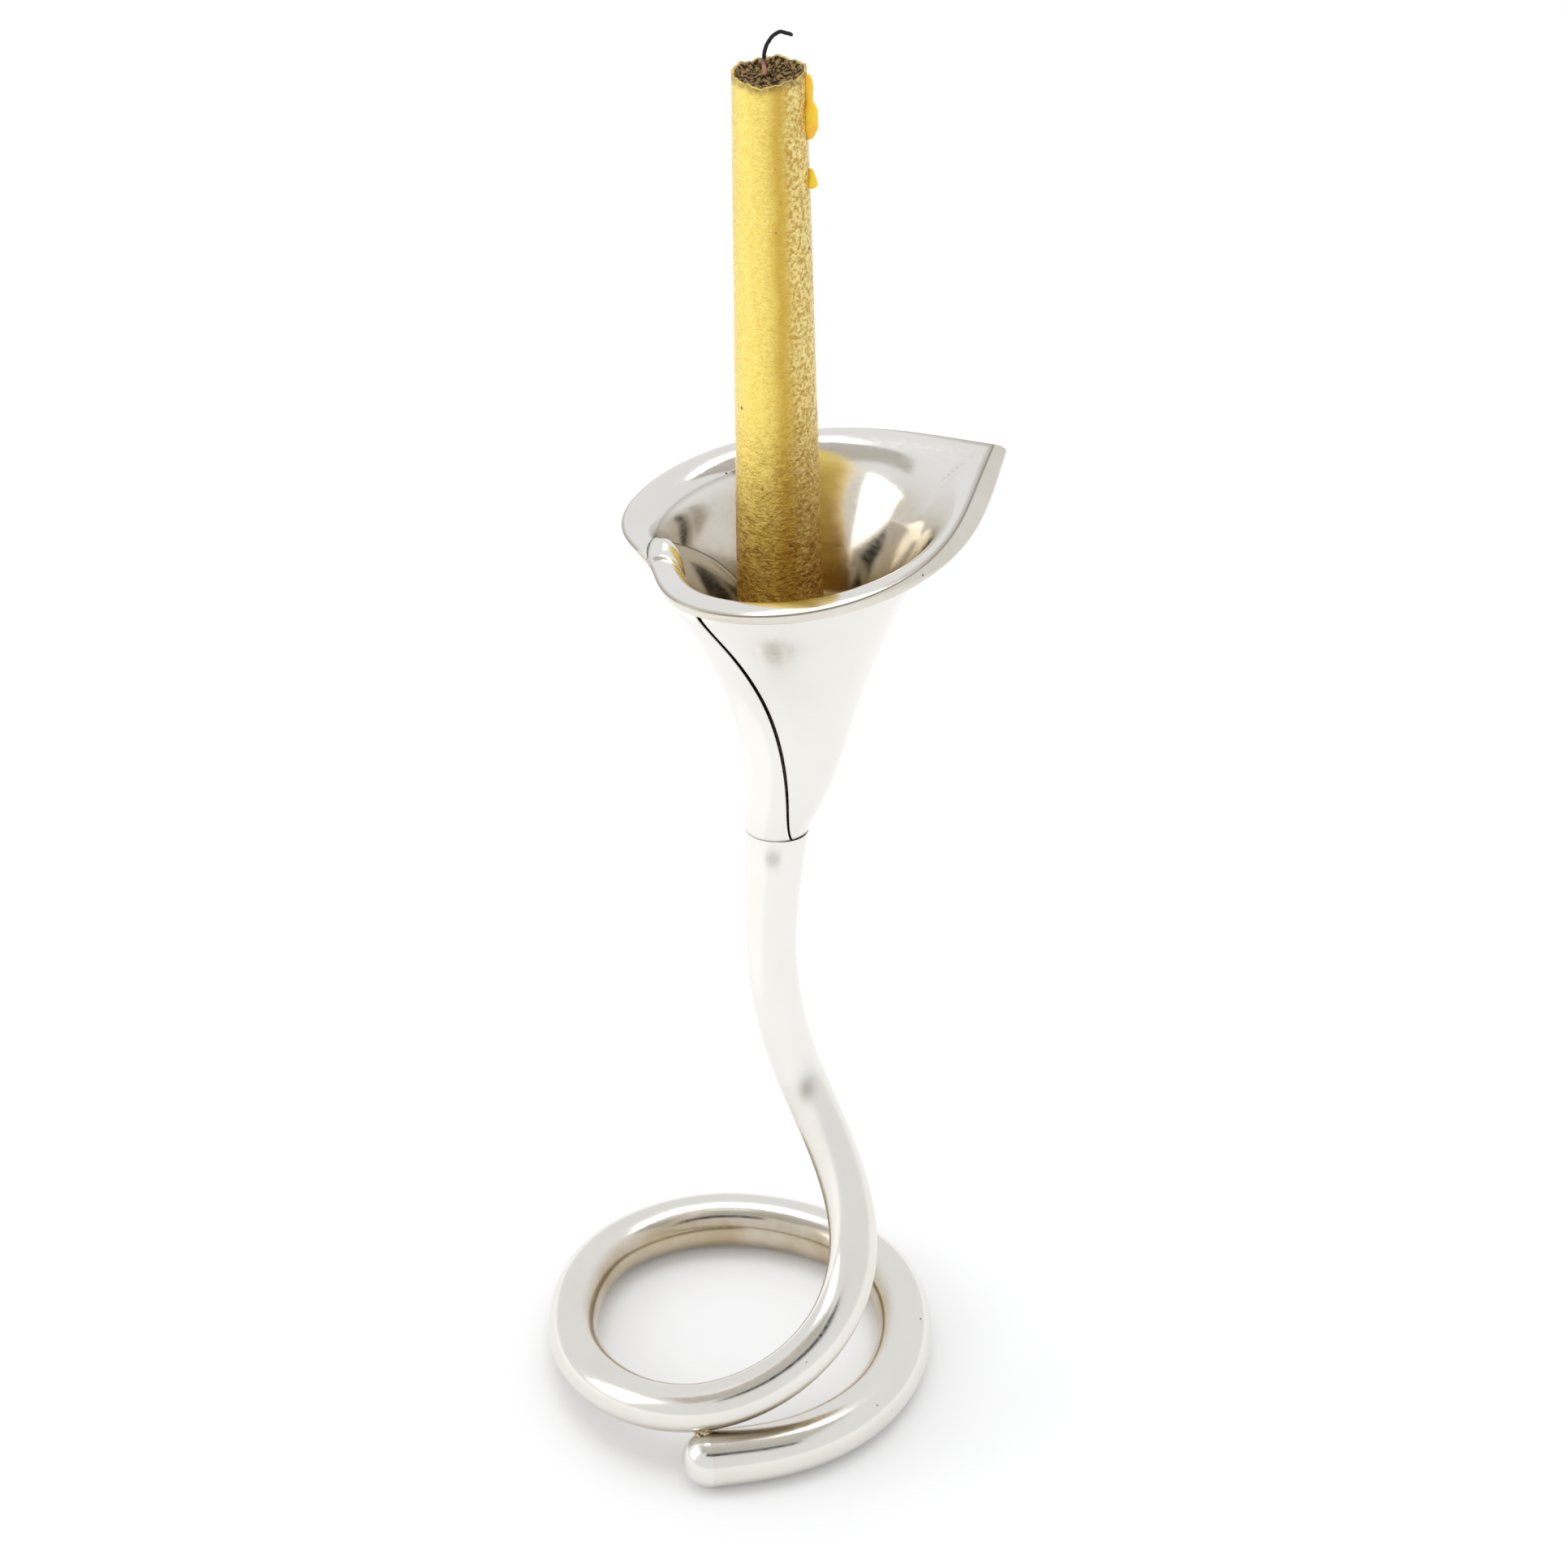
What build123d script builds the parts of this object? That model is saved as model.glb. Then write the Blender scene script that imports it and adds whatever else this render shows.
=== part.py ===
"""A calla-lily candlestick: a tapered tube coiled into a ring for a foot, an S-bent stem, and a rolled
flower with a turned-out lip that holds a taper candle. Millimetres, +Z up. The shape is laid out
about the middle of the coil, then everything is moved so that the origin is bottom centre."""

from build123d import *
from math import cos, exp, radians, sin
import os

# The bent tube, as points along its middle, from its domed end round the coil and up to the neck.
COIL = [
    (-4.4, -57.0, 7.25),
    (16.2, -52.2, 7.2),
    (36.0, -38.0, 7.1),
    (47.6, -8.0, 7.1),
    (40.5, 21.5, 7.2),
    (16.0, 38.5, 7.3),
    (-12.0, 39.8, 7.2),
    (-34.0, 26.5, 7.0),
    (-42.8, -1.0, 9.0),
    (-37.5, -28.5, 13.2),
    (-23.0, -45.5, 16.6),
    (-8.0, -51.2, 19.7),
]
STEM = [
    (12.6, -47.6, 26.2),
    (27.6, -36.5, 36.8),
    (32.9, -26.0, 50.0),
    (30.7, -17.0, 66.6),
    (22.4, -9.8, 87.9),
    (18.7, -7.8, 97.0),
    (13.8, -5.7, 114.5),
    (11.6, -4.4, 136.0),
    (12.3, -2.8, 158.0),
]
JOINT = STEM[5]
NECK = (13.0, -1.8, 169.5)
# Outside radius of the tube, at shares of its length.
RADII = [
    (0, 7.55),
    (0.16, 7.35),
    (0.33, 7.6),
    (0.45, 6.8),
    (0.57, 6.45),
    (0.65, 6.3),
    (0.93, 6.35),
    (0.958, 6.8),
    (0.98, 7.4),
    (1, 8.0),
]
WALL = 1.6
PLAY = 0.05

# The flower leans a little left and back. Its profile is radius and height above the neck.
LEAN = Vector(-0.0194, 0.0871, 0.996)
PROFILE = [
    (8.0, 0),
    (9.2, 5.7),
    (11.3, 15.7),
    (13.7, 27.2),
    (17.6, 40.7),
    (22.3, 52.7),
    (26.8, 62.7),
    (30.9, 70.7),
    (34.3, 77.2),
    (36.5, 80.7),
    (38.8, 82.6),
    (41.0, 82.9),
    (43.0, 82.1),
]
BELLY_X, BELLY_Y = 5.2, -1.2
RISE_X, RISE_Y = 0.09, 0.11
TIP_AT, TIP_OUT, TIP_SPREAD = 27, 17.5, 21
NOTCH_AT, NOTCH_IN, NOTCH_SPREAD = 200, 6.5, 23
SHEET, LIP, MARGIN, GAP = 1.5, 2.7, 0.7, 0.25

# The candle and what it stands in. Heights are above the neck, along the lean.
CANDLE_X = 2.1
SEAT_Z, CUP_Z, BUTT_Z, CUP_TOP = 41.0, 44.0, 48.0, 59.0
SEAT_R, CUP_R, BORE_R = 14.6, 12.2, 11.1
CANDLE_LENGTH, BUTT_R, TOP_R = 149.0, 10.85, 8.7
WICK_R = 0.5


def smooth(x):
    """A ramp from 0 to 1 with soft ends."""
    x = min(max(x, 0.0), 1.0)
    return x * x * (3 - 2 * x)


def between(stations, t):
    """The value at t of a list of (place, value) pairs, in straight lines."""
    for (t0, v0), (t1, v1) in zip(stations, stations[1:]):
        if t <= t1:
            return v0 + (v1 - v0) * (t - t0) / (t1 - t0)
    return stations[-1][1]


line = Spline(*COIL, *STEM, NECK)
joint_at = line.param_at_point(JOINT)
slit = 0.25 / line.length
neck = Plane(origin=NECK, x_dir=Vector(0, 1, 0).cross(LEAN), z_dir=LEAN)


def stations(start, end, count):
    """Planes across the line at even steps, each with the outside radius of the tube there."""
    side = Vector(0, 0, 1) if start < 0.5 else Vector(1, 0, 0)
    found = []
    for i in range(count):
        t = start + (end - start) * i / (count - 1)
        along = LEAN if t == 1 else line % t
        side = (side - along * side.dot(along)).normalized()
        found.append((Plane(origin=line @ t, x_dir=side, z_dir=along), between(RADII, t)))
    return found


def rod(places, inset, past=0.0):
    """A solid rod through the stations, inset from the tube's outside, run on at both ends by past."""
    with BuildPart() as made:
        for i, (plane, radius) in enumerate(places):
            slip = {0: -past, len(places) - 1: past}.get(i, 0.0)
            with BuildSketch(plane.offset(slip)):
                Circle(radius - inset)
        loft(ruled=True)
    return made.part


def tube(places):
    """The tube's wall through the stations, open at both ends."""
    with BuildPart() as made:
        add(rod(places, 0))
        add(rod(places, WALL, past=0.5), mode=Mode.SUBTRACT)
    return made.part


def neck_point(x, y, z):
    return neck.from_local_coords((x, y, z))


def groove(s):
    """Azimuth of the flower's outer free edge at a share of the way up the profile, in degrees."""
    low = 226 + 46 * max(0.0, 1 - s / 0.85) + 24 * exp(-s / 0.07)
    return low - 26 * smooth((s - 0.85) / 0.15)


def ridge(s):
    """Azimuth of the flower's inner free edge, which winds the other way inside the bowl."""
    return 109 + 90 * max(0.0, (s - 0.4) / 0.6) ** 2


profile = Spline(*[(r, h) for r, h in PROFILE])


def flower_point(azimuth, s, inset):
    """A point of the flower, inset from its nominal outside, at a share s of the way up the profile."""
    at, along = profile @ s, profile % s
    r = at.X - inset * along.Y
    z = at.Y + inset * along.X
    tip = abs((azimuth - TIP_AT + 180) % 360 - 180)
    notch = (azimuth - NOTCH_AT + 180) % 360 - 180
    out = TIP_OUT * exp(-tip / TIP_SPREAD) - NOTCH_IN * exp(-((notch / NOTCH_SPREAD) ** 2)) - 0.6
    r += out * smooth((s - 0.8) / 0.2) ** 1.3
    x, y = r * cos(radians(azimuth)), r * sin(radians(azimuth))
    off = 1 - exp(-((max(z, 0.0) / 14) ** 1.3))
    z += (RISE_X * x + RISE_Y * y) * smooth((s - 0.35) / 0.5)
    return neck_point(x + BELLY_X * off, y + BELLY_Y * off, z)


def sheet_depths(turn, s):
    """Insets of the sheet's outside and inside, turn degrees past the groove (-ve: the hidden lap)."""
    full = SHEET + (LIP - SHEET) * smooth((s - 0.8) / 0.17)
    if turn < 0:
        lap = turn + groove(s) - ridge(s)
        over = MARGIN + (full - MARGIN) * smooth(-turn / 12)
        thick = MARGIN + (full - MARGIN) * smooth(lap / 12)
        return over + GAP, over + GAP + thick
    thick = MARGIN + (full - MARGIN) * smooth((360 - turn) / 12)
    step = (MARGIN + GAP) * (1 - smooth(turn / 4))
    return step, step + (full if turn < 180 else thick)


def steps(start, end, count):
    return [start + (end - start) * i / (count - 1) for i in range(count)]


LEVELS = [0, 0.07, 0.16, 0.26, 0.37, 0.48, 0.59, 0.69, 0.78, 0.85, 0.9, 0.94, 0.97, 1]
HIDDEN = [0, 0.15, 0.4, 0.7, 0.9, 0.98]
SEEN = [0.5, 3, 5, *steps(18, 340, 26), 348, 355, 359.4]


def sheet_row(s, side):
    """Points round the outside (side 0) or inside (side 1) of the sheet, from ridge to groove."""
    lap = groove(s) - ridge(s)
    turns = [-lap * (1 - share) for share in HIDDEN] + SEEN
    return [flower_point(groove(s) + turn, s, sheet_depths(turn, s)[side]) for turn in turns]


def make_flower():
    """The rolled sheet: an outside and an inside skin, closed by strips along its four edges."""
    last = len(HIDDEN) + len(SEEN) - 1
    places = [i / last for i in range(last + 1)]
    skins = []
    for side in (0, 1):
        rows = [Edge.make_spline(sheet_row(s, side), parameters=places) for s in LEVELS]
        skins.append(Shell.make_loft([Wire([row]) for row in rows]).faces()[0])
    middle = len(LEVELS) // 2
    strips = []
    for level, place in ((0, last // 2), (-1, last // 2), (middle, 0), (middle, -1)):
        pair = []
        for side, skin in enumerate(skins):
            near = Vertex(*sheet_row(LEVELS[level], side)[place])
            pair.append(skin.edges().sort_by(lambda edge, near=near: edge.distance_to(near))[0])
        strips.append(Face.make_surface_from_curves(*pair))
    return Solid(Shell(skins + strips))


# Foot and stem.
coil_line = stations(0, joint_at - slit, 65)
stem_line = stations(joint_at + slit, 1, 17)

with BuildPart() as coil_tube:
    add(tube(coil_line))
    with Locations((0, 0, -10)):
        Box(200, 200, 20, mode=Mode.SUBTRACT)

end = Plane(origin=line @ 0, x_dir=(0, 0, 1), z_dir=line % 0)
END_R = RADII[0][1]
with BuildPart() as coil_end_cap:
    with Locations(end.location):
        Sphere(END_R)
    split(bisect_by=end, keep=Keep.BOTTOM)
    add(rod([(end, END_R), coil_line[1]], WALL + PLAY))
    with Locations((0, 0, -10)):
        Box(200, 200, 20, mode=Mode.SUBTRACT)

BEAD = (-6.3, -54.3, 13.7)
with BuildPart() as coil_braze:
    with Locations(BEAD):
        Sphere(2.6)
    with Locations(end.location):
        Sphere(END_R, mode=Mode.SUBTRACT)
    add(rod(coil_line[:5], 0), mode=Mode.SUBTRACT)
    add(rod(coil_line[42:50], 0), mode=Mode.SUBTRACT)

with BuildPart() as stem_spigot:
    add(rod(coil_line[-2:] + stem_line[:3], WALL + PLAY))

with BuildPart() as stem_braze:
    add(rod([coil_line[-1], stem_line[0]], -0.12))
    add(stem_spigot.part, mode=Mode.SUBTRACT)

with BuildPart() as stem_tube:
    add(tube(stem_line))

with BuildPart() as neck_plug:
    add(rod(stem_line[-4:], WALL + PLAY))
    with BuildSketch(neck.offset(-14)):
        Circle(1.65)
    extrude(amount=16, mode=Mode.SUBTRACT)

# Flower and how it is held on.
with BuildPart() as flower_spathe:
    add(make_flower())

with BuildPart() as throat_washer:
    with BuildSketch(neck.offset(0.1)):
        Circle(4.3)
    extrude(amount=2.2)
    with BuildSketch(neck):
        Circle(2.1)
    extrude(amount=3, mode=Mode.SUBTRACT)

with BuildPart() as throat_screw:
    with BuildSketch(neck.offset(2.35)):
        Circle(3.4)
    extrude(amount=2.4)
    with BuildSketch(neck.offset(-9)):
        Circle(1.6)
    extrude(amount=11.4)
    with BuildSketch(neck.offset(3.4)):
        RegularPolygon(1.5, 6)
    extrude(amount=2, mode=Mode.SUBTRACT)


def upright(height, x=CANDLE_X, y=0.0):
    """A plane across the flower's lean at a height above the neck."""
    return Plane(origin=neck_point(x, y, height), x_dir=neck.x_dir, z_dir=LEAN)


with BuildPart() as cup_seat:
    with BuildSketch(upright(SEAT_Z, BELLY_X, BELLY_Y)):
        Circle(SEAT_R - 0.9)
    with BuildSketch(upright(CUP_Z - PLAY, BELLY_X, BELLY_Y)):
        Circle(SEAT_R)
    loft()
    with BuildSketch(upright(SEAT_Z - 1)):
        Circle(1.65)
    extrude(amount=6, mode=Mode.SUBTRACT)

with BuildPart() as candle_cup:
    with BuildSketch(upright(CUP_Z)):
        Circle(CUP_R)
    extrude(amount=CUP_TOP - CUP_Z)
    chamfer(candle_cup.edges().group_by(SortBy.LENGTH)[-1], 0.4)
    with BuildSketch(upright(BUTT_Z)):
        Circle(BORE_R)
    extrude(amount=20, mode=Mode.SUBTRACT)
    with BuildSketch(upright(BUTT_Z - 2.4)):
        Circle(4.2)
    extrude(amount=3, mode=Mode.SUBTRACT)
    with BuildSketch(upright(CUP_Z - 1)):
        Circle(2.1)
    extrude(amount=4, mode=Mode.SUBTRACT)

with BuildPart() as cup_screw:
    with BuildSketch(upright(BUTT_Z - 2.35)):
        Circle(3.6)
    extrude(amount=2.0)
    with BuildSketch(upright(SEAT_Z + 0.3)):
        Circle(1.6)
    extrude(amount=BUTT_Z - 2.3 - SEAT_Z - 0.3)
    with BuildSketch(upright(BUTT_Z - 1.3)):
        RegularPolygon(1.5, 6)
    extrude(amount=2, mode=Mode.SUBTRACT)

# The candle, its wick and the wax that ran down it.
butt = upright(BUTT_Z + PLAY)
top = butt.offset(CANDLE_LENGTH)
with BuildPart() as candle:
    with BuildSketch(butt):
        Circle(BUTT_R)
    with BuildSketch(top):
        Circle(TOP_R)
    loft()
    with Locations(top.offset(11.2).location):
        Sphere(13.2, mode=Mode.SUBTRACT)
    with BuildSketch(upright(BUTT_Z + CANDLE_LENGTH - 12, CANDLE_X - 1)):
        Circle(WICK_R + 0.15)
    extrude(amount=20, mode=Mode.SUBTRACT)


WICK_BEND = [(0, -11), (0, -6), (0, -1), (0.3, 4.5), (1.6, 7), (3.4, 8.4), (6.6, 7.6)]


def wick_point(x, z):
    """A point x to the right of the wick's foot and z above the candle's top."""
    return neck_point(CANDLE_X - 1 + x, 0, BUTT_Z + CANDLE_LENGTH + z)


with BuildPart() as wick:
    with BuildLine() as wick_line:
        Spline(*[wick_point(x, z) for x, z in WICK_BEND])
    with BuildSketch(Plane(origin=wick_line.line @ 0, z_dir=wick_line.line % 0)):
        Circle(WICK_R)
    sweep()


def drip(stations):
    """A run of wax down the right side of the candle, as (drop below the top, radius, lift) stations."""
    with BuildPart() as run:
        for down, size, lift in stations:
            side = TOP_R + (BUTT_R - TOP_R) * down / CANDLE_LENGTH + lift
            with BuildSketch(upright(BUTT_Z + CANDLE_LENGTH - down, CANDLE_X + side, -1.5)):
                Circle(size)
        loft()
        add(candle.part, mode=Mode.SUBTRACT)
    return run.part.solids().sort_by(SortBy.VOLUME)[-1]


LONG_RUN = [(2, 0.8, 0.1), (5, 1.2, 0.2), (8, 1.1, 0.2), (11, 2.0, 0.4), (14, 2.2, 0.3), (16.5, 0.9, 0.1)]
SHORT_RUN = [(23.5, 0.5, 0.1), (25.5, 1.1, 0.3), (27.3, 1.6, 0.4), (28.2, 0.8, 0.4)]

pieces = {
    "coil_tube": coil_tube.part,
    "coil_end_cap": coil_end_cap.part,
    "coil_braze": coil_braze.part,
    "stem_spigot": stem_spigot.part,
    "stem_braze": stem_braze.part,
    "stem_tube": stem_tube.part,
    "neck_plug": neck_plug.part,
    "throat_washer": throat_washer.part,
    "throat_screw": throat_screw.part,
    "flower_spathe": flower_spathe.part,
    "cup_seat": cup_seat.part,
    "candle_cup": candle_cup.part,
    "cup_screw": cup_screw.part,
    "candle": candle.part,
    "wick": wick.part,
    "wax_drip_long": drip(LONG_RUN),
    "wax_drip_short": drip(SHORT_RUN),
}

# The origin goes to the middle of the underside of the box round everything.
box = Compound(children=[Compound(piece.solids()) for piece in pieces.values()]).bounding_box()
shift = Location((-box.center().X, -box.center().Y, 0))
os.makedirs("parts", exist_ok=True)
for name, piece in pieces.items():
    moved = piece.moved(shift)
    moved.label = name
    export_step(moved, f"parts/{name}.step")
print("moved by", shift.position)
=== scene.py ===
"""Looks for the calla-lily candlestick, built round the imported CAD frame. Shapes are laid out in
millimetres about the middle of the coil, as in the CAD, and moved into the frame's metres."""

import math

import bmesh
import bpy
import numpy as np
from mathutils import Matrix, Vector


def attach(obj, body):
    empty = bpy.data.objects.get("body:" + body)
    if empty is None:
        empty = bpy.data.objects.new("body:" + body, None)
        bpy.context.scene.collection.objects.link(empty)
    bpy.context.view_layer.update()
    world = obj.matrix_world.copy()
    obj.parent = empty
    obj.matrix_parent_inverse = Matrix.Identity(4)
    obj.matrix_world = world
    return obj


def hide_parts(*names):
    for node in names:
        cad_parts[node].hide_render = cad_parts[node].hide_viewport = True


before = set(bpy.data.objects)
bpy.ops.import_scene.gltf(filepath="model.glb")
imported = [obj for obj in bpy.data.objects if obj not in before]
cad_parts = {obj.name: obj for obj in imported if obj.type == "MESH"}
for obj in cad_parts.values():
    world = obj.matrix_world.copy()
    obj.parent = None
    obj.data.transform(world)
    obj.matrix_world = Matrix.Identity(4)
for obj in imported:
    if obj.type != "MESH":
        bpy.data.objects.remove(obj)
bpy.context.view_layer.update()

# ---------------------------------------------------------------- named sizes, in millimetres

# From the middle of the coil to the frame's origin, bottom centre.
SHIFT = np.array([-10.894, 7.458, 0.0])

# The bent tube, as points along its middle, from its domed end round the coil and up to the neck.
COIL = [
    (-4.4, -57.0, 7.25),
    (16.2, -52.2, 7.2),
    (36.0, -38.0, 7.1),
    (47.6, -8.0, 7.1),
    (40.5, 21.5, 7.2),
    (16.0, 38.5, 7.3),
    (-12.0, 39.8, 7.2),
    (-34.0, 26.5, 7.0),
    (-42.8, -1.0, 9.0),
    (-37.5, -28.5, 13.2),
    (-23.0, -45.5, 16.6),
    (-8.0, -51.2, 19.7),
]
STEM = [
    (12.6, -47.6, 26.2),
    (27.6, -36.5, 36.8),
    (32.9, -26.0, 50.0),
    (30.7, -17.0, 66.6),
    (22.4, -9.8, 87.9),
    (18.7, -7.8, 97.0),
    (13.8, -5.7, 114.5),
    (11.6, -4.4, 136.0),
    (12.3, -2.8, 158.0),
]
NECK = np.array([13.0, -1.8, 169.5])
# Outside radius of the tube at shares of its length, and the share where the stem is soldered.
RADII_AT = [0, 0.16, 0.33, 0.45, 0.57, 0.65, 0.8, 0.93, 0.958, 0.98, 1]
RADII = [7.55, 7.35, 7.6, 6.8, 6.45, 6.3, 6.28, 6.35, 6.8, 7.4, 8.0]
JOINT_AT = 0.8466
# How far each tube stops short of the joint, and how far the solder line reaches past it, as shares.
TUBE_STOPS, SOLDER_REACH = 0.0004, 0.0006
# The middle of the ring, the lump of solder on it, and the burn left where the stem was soldered.
RING_MIDDLE = np.array([0.0, -8.0, 0.0])
BEAD_AT, BEAD_SIZE = np.array([-6.3, -54.2, 14.0]), np.array([2.5, 2.3, 1.6])
BURN_AT, BURN_SIZE = np.array([20.6, -13.8, 96.0]), (2.2, 3.0, 3.6)

# The flower leans a little left and back. Its profile is radius and height above the neck. Angles
# round it are in degrees, from the right and towards the back.
LEAN = np.array([-0.0194, 0.0871, 0.996])
PROFILE = [
    (8.0, 0),
    (9.2, 5.7),
    (11.3, 15.7),
    (13.7, 27.2),
    (17.6, 40.7),
    (22.3, 52.7),
    (26.8, 62.7),
    (30.9, 70.7),
    (34.3, 77.2),
    (36.5, 80.7),
    (38.8, 82.6),
    (41.0, 82.9),
    (43.0, 82.1),
]
# How far the cone's belly bulges off the neck's line, and how steeply its mouth rises.
BELLY_X, BELLY_Y = 5.2, -1.2
RISE_X, RISE_Y = 0.09, 0.11
# The tip and the notch: where on the rim, how far out or in, and over how many degrees.
TIP_AT, TIP_OUT, TIP_SPREAD = 27, 17.5, 21
NOTCH_AT, NOTCH_IN, NOTCH_SPREAD = 200, 6.5, 23
# Thickness of the sheet, of its lip and of its free edges, and the gap where it laps itself.
SHEET, LIP, MARGIN, GAP = 1.5, 2.7, 0.7, 0.25

# The candle and what it stands in. Heights are above the neck, along the lean.
CANDLE_X = 2.1
CUP_R, BORE_R = 12.2, 11.1
BUTT_Z, CANDLE_LENGTH, BUTT_R, TOP_R = 48.0, 149.0, 10.85, 8.7
TOP_Z = BUTT_Z + CANDLE_LENGTH
WICK_R = 0.45
WICK_BEND = [(0, -11), (0, -6), (0, -1), (0.3, 4.5), (1.6, 7), (3.4, 8.4), (6.6, 7.6)]

# Turned pieces, as (radius, height above the neck) points round half their section.
SEAT = [
    (1.7, 41.3),
    (2.0, 41.0),
    (13.4, 41.0),
    (13.8, 41.3),
    (14.5, 43.6),
    (14.1, 43.95),
    (2.0, 43.95),
    (1.7, 43.6),
]
CUP_OUTSIDE = [(2.2, 44.3), (2.6, 44.0), (11.7, 44.0), (12.1, 44.4), (CUP_R, 46), (CUP_R, 58.2), (11.9, 59)]
CUP_BORE = [(11.5, 59), (11.2, 58.7), (BORE_R, 58), (BORE_R, 48.6), (10.9, 48.1), (10.5, 48)]
CUP_RECESS = [(4.3, 48), (4.2, 45.7), (4.0, 45.6), (2.2, 45.6)]

# Runs of wax, as (drop below the candle's top, radius, distance off the candle) stations.
LONG_RUN = [
    (1, 0.7, 0.1),
    (4, 1.2, 0.1),
    (7.2, 1.1, 0.1),
    (9.5, 1.9, 0.4),
    (13.6, 2.0, 0.4),
    (16.6, 0.8, 0.0),
]
SHORT_RUN = [(23.5, 0.4, 0.1), (25.5, 1.0, 0.3), (27.3, 1.5, 0.4), (28.4, 0.8, 0.4)]

# ---------------------------------------------------------------- shapes


def curve_through(knots, values):
    """A function giving the natural cubic through values at knots."""
    knots, values = np.asarray(knots, float), np.asarray(values, float)
    n = len(knots)
    h = np.diff(knots)
    a = np.zeros((n, n))
    b = np.zeros((n,) + values.shape[1:])
    a[0, 0] = a[-1, -1] = 1
    for i in range(1, n - 1):
        a[i, i - 1 : i + 2] = h[i - 1], 2 * (h[i - 1] + h[i]), h[i]
        b[i] = 6 * ((values[i + 1] - values[i]) / h[i] - (values[i] - values[i - 1]) / h[i - 1])
    m = np.linalg.solve(a, b)

    def at(t):
        t = np.asarray(t, float)
        i = np.clip(np.searchsorted(knots, t) - 1, 0, n - 2)
        w = (t - knots[i]) / h[i]
        step = h[i]
        if values.ndim > 1:
            w, step = w[..., None], step[..., None]
        low, high = values[i], values[i + 1]
        bend = (w**3 - w) * m[i + 1] + ((1 - w) ** 3 - (1 - w)) * m[i]
        return low * (1 - w) + high * w + bend * step**2 / 6

    return at


def smooth(x):
    """A ramp from 0 to 1 with soft ends."""
    x = np.clip(x, 0, 1)
    return x * x * (3 - 2 * x)


def bump(x, centre, width):
    """A soft hump of height 1."""
    return np.exp(-(((x - centre) / width) ** 2))


def spread(start, end, count):
    """Evenly spaced numbers, both ends among them."""
    return np.linspace(start, end, count)


def around(count):
    """Evenly spaced angles round a full turn."""
    return np.linspace(0, 2 * math.pi, count, endpoint=False)


def unit(vectors):
    """Vectors made one long."""
    return vectors / np.linalg.norm(vectors, axis=-1, keepdims=True)


def lengths_along(points):
    """The distance from the first point to each point, over the straight runs between them."""
    return np.concatenate([[0], np.cumsum(np.linalg.norm(np.diff(points, axis=0), axis=1))])


UP = unit(LEAN)
ACROSS = unit(np.cross([0, 1, 0], UP))
BACK = np.cross(UP, ACROSS)


def by_neck(x, y, z):
    """Points measured from the neck: across, back and up the flower's lean."""
    x, y, z = np.broadcast_arrays(x, y, z)
    return NECK + x[..., None] * ACROSS + y[..., None] * BACK + z[..., None] * UP


def add_mesh(name, verts, faces, body, node, material):
    """A smooth mesh in the frame's metres that rides on a body and stands for a CAD node."""
    mesh = bpy.data.meshes.new(name)
    mesh.from_pydata(((verts + SHIFT) / 1000).tolist(), [], faces)
    # Faces look outwards whichever way the piece was laid out.
    shell = bmesh.new()
    shell.from_mesh(mesh)
    if shell.calc_volume(signed=True) < 0:
        mesh.flip_normals()
    shell.free()
    mesh.polygons.foreach_set("use_smooth", [True] * len(mesh.polygons))
    mesh.update()
    made = bpy.data.objects.new(name, mesh)
    bpy.context.scene.collection.objects.link(made)
    mesh.materials.append(material)
    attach(made, body)
    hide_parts(node)
    return made


def grid_faces(rows, cols, wrap_rows=False, wrap_cols=True):
    """Quads of a grid of rows by cols vertices, which may close up on itself either way."""
    out = []
    for i in range(rows if wrap_rows else rows - 1):
        low, high = i * cols, (i + 1) % rows * cols
        for j in range(cols if wrap_cols else cols - 1):
            m = (j + 1) % cols
            out.append((low + j, low + m, high + m, high + j))
    return out


def add_turned(name, section, body, node, material, centre=(CANDLE_X, 0.0), sides=128):
    """A turned piece on the flower's lean, from points round half its section."""
    r, z = np.array(section, float).T[..., None]
    turn = around(sides)
    verts = by_neck(centre[0] + r * np.cos(turn), centre[1] + r * np.sin(turn), z)
    faces = grid_faces(len(r), sides, wrap_rows=True)
    add_mesh(name, verts.reshape(-1, 3), faces, body, node, material)


def closed(verts):
    """Vertices and faces of a row of rings, with a flat end of its own vertices at each end."""
    count, sides = verts.shape[:2]
    last = count * sides
    faces = grid_faces(count, sides)
    faces.append(tuple(range(last + sides - 1, last - 1, -1)))
    faces.append(tuple(range(last + sides, last + 2 * sides)))
    return np.vstack([verts.reshape(-1, 3), verts[0], verts[-1]]), faces


def set_mask(made, name, values):
    """A number on each vertex that a material reads by name. The piece's last vertices may go without."""
    full = np.zeros(len(made.data.vertices), np.float32)
    given = np.asarray(values, np.float32).ravel()
    full[: len(given)] = given
    made.data.attributes.new(name, "FLOAT", "POINT").data.foreach_set("value", full)


# The tube's middle line, and its length up to each of many close places on it.
KNOTS = np.array([*COIL, *STEM, tuple(NECK)])
LINE = curve_through(lengths_along(KNOTS), KNOTS)
LINE_AT = spread(0, lengths_along(KNOTS)[-1], 4000)
LINE_LENGTHS = lengths_along(LINE(LINE_AT))


def along_curve(curve, t):
    """The way that a curve runs at t."""
    return unit(curve(t + 0.01) - curve(t - 0.01))


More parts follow.
